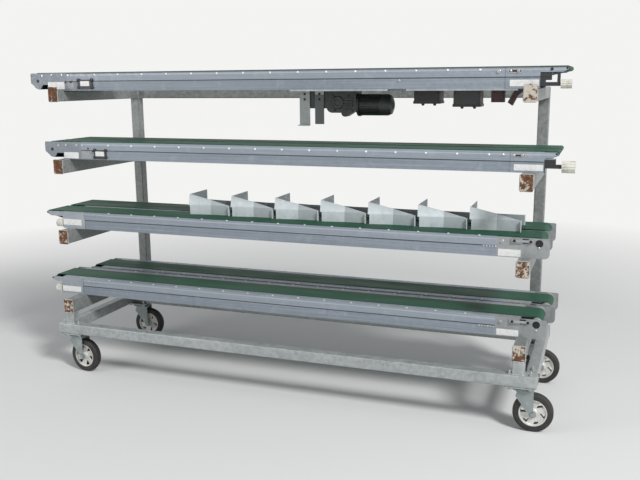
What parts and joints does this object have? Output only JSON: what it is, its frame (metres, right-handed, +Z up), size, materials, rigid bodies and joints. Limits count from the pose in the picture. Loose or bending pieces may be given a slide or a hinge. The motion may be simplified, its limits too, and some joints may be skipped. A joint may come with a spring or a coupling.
{
  "type": "mobile belt conveyor",
  "caption": "Galvanised rack on castors carrying stacked tiers of flat green belt conveyors with a small drive unit and folded guide chutes.",
  "frame": {"origin": "on the floor under the middle of the whole machine's box", "axes": "+X right along the conveyors as seen from the open side, +Y from the open side to the columns, +Z up"},
  "size_m": [3.084, 0.91, 1.791],
  "materials": {
    "galvanised": "hot-dip galvanised",
    "rusted_plate": "rusty with pale patches",
    "profile": "satin",
    "plate": "zinc plated",
    "belt": "smooth green belt",
    "knob": "white",
    "roller": "turned",
    "motor_paint": "dark green paint",
    "box_plastic": "dark grey",
    "sheet": "bright folded sheet",
    "zinc": "zinc plated",
    "rim": "pale grey",
    "tyre": "black solid rubber"
  },
  "bodies": {
    "rack": {"base_front_rail": "galvanised", "base_castor_rail": "galvanised", "base_rear_rail": "galvanised", "base_cross_rails": "galvanised", "front_posts": "galvanised", "columns": "galvanised", "tier_beams": "galvanised", "arms_tier_1": "galvanised", "arms_tier_2": "galvanised", "arms_tier_3": "galvanised", "arms_tier_4": "galvanised", "castor_pads": "galvanised", "arm_end_plates": "rusted_plate", "conveyor_1_side_profiles": "profile", "conveyor_1_drive_plates": "plate", "conveyor_1_nose_plates": "plate", "conveyor_1_belts": "belt", "conveyor_2_side_profiles": "profile", "conveyor_2_drive_plates": "plate", "conveyor_2_nose_plates": "plate", "conveyor_2_belts": "belt", "conveyor_3_side_profiles": "profile", "conveyor_3_drive_plates": "plate", "conveyor_3_nose_plates": "plate", "conveyor_3_belts": "belt", "conveyor_4_side_profiles": "profile", "conveyor_4_drive_plates": "plate", "conveyor_4_nose_plates": "plate", "conveyor_4_belts": "belt", "tension_knobs": "knob", "belt_rollers": "roller", "middle_strips": "profile", "cross_bars": "profile", "sliding_beds": "plate", "drive_bracket": "plate", "gearbox": "motor_paint", "motor": "motor_paint", "motor_fan_cover": "motor_paint", "control_boxes": "box_plastic", "guide_chutes": "sheet", "castor_plates": "zinc"},
    "castor_front_left": {"fork_front_left": "zinc"},
    "wheel_front_left": {"rim_front_left": "rim", "tyre_front_left": "tyre"},
    "castor_front_right": {"fork_front_right": "zinc"},
    "wheel_front_right": {"rim_front_right": "rim", "tyre_front_right": "tyre"},
    "castor_rear_left": {"fork_rear_left": "zinc"},
    "wheel_rear_left": {"rim_rear_left": "rim", "tyre_rear_left": "tyre"},
    "castor_rear_right": {"fork_rear_right": "zinc"},
    "wheel_rear_right": {"rim_rear_right": "rim", "tyre_rear_right": "tyre"}
  },
  "joints": [
    {"name": "swivel_front_left", "type": "hinge", "parent": "rack", "child": "castor_front_left", "pos_m": [-1.312, -0.387, 0.225], "axis": [0, 0, 1], "continuous": true},
    {"name": "roll_front_left", "type": "hinge", "parent": "castor_front_left", "child": "wheel_front_left", "pos_m": [-1.24636, -0.3939, 0.1], "axis": [0.1045, 0.9945, 0], "continuous": true},
    {"name": "swivel_front_right", "type": "hinge", "parent": "rack", "child": "castor_front_right", "pos_m": [1.34, -0.387, 0.225], "axis": [0, 0, 1], "continuous": true},
    {"name": "roll_front_right", "type": "hinge", "parent": "castor_front_right", "child": "wheel_front_right", "pos_m": [1.40591, -0.38355, 0.1], "axis": [-0.0523, 0.9986, 0], "continuous": true},
    {"name": "swivel_rear_left", "type": "hinge", "parent": "rack", "child": "castor_rear_left", "pos_m": [-1.301, 0.3, 0.225], "axis": [0, 0, 1], "continuous": true},
    {"name": "roll_rear_left", "type": "hinge", "parent": "castor_rear_left", "child": "wheel_rear_left", "pos_m": [-1.23525, 0.30575, 0.1], "axis": [-0.0872, 0.9962, 0], "continuous": true},
    {"name": "swivel_rear_right", "type": "hinge", "parent": "rack", "child": "castor_rear_right", "pos_m": [1.329, 0.3, 0.225], "axis": [0, 0, 1], "continuous": true},
    {"name": "roll_rear_right", "type": "hinge", "parent": "castor_rear_right", "child": "wheel_rear_right", "pos_m": [1.39496, 0.2977, 0.1], "axis": [0.0349, 0.9994, 0], "continuous": true}
  ]
}
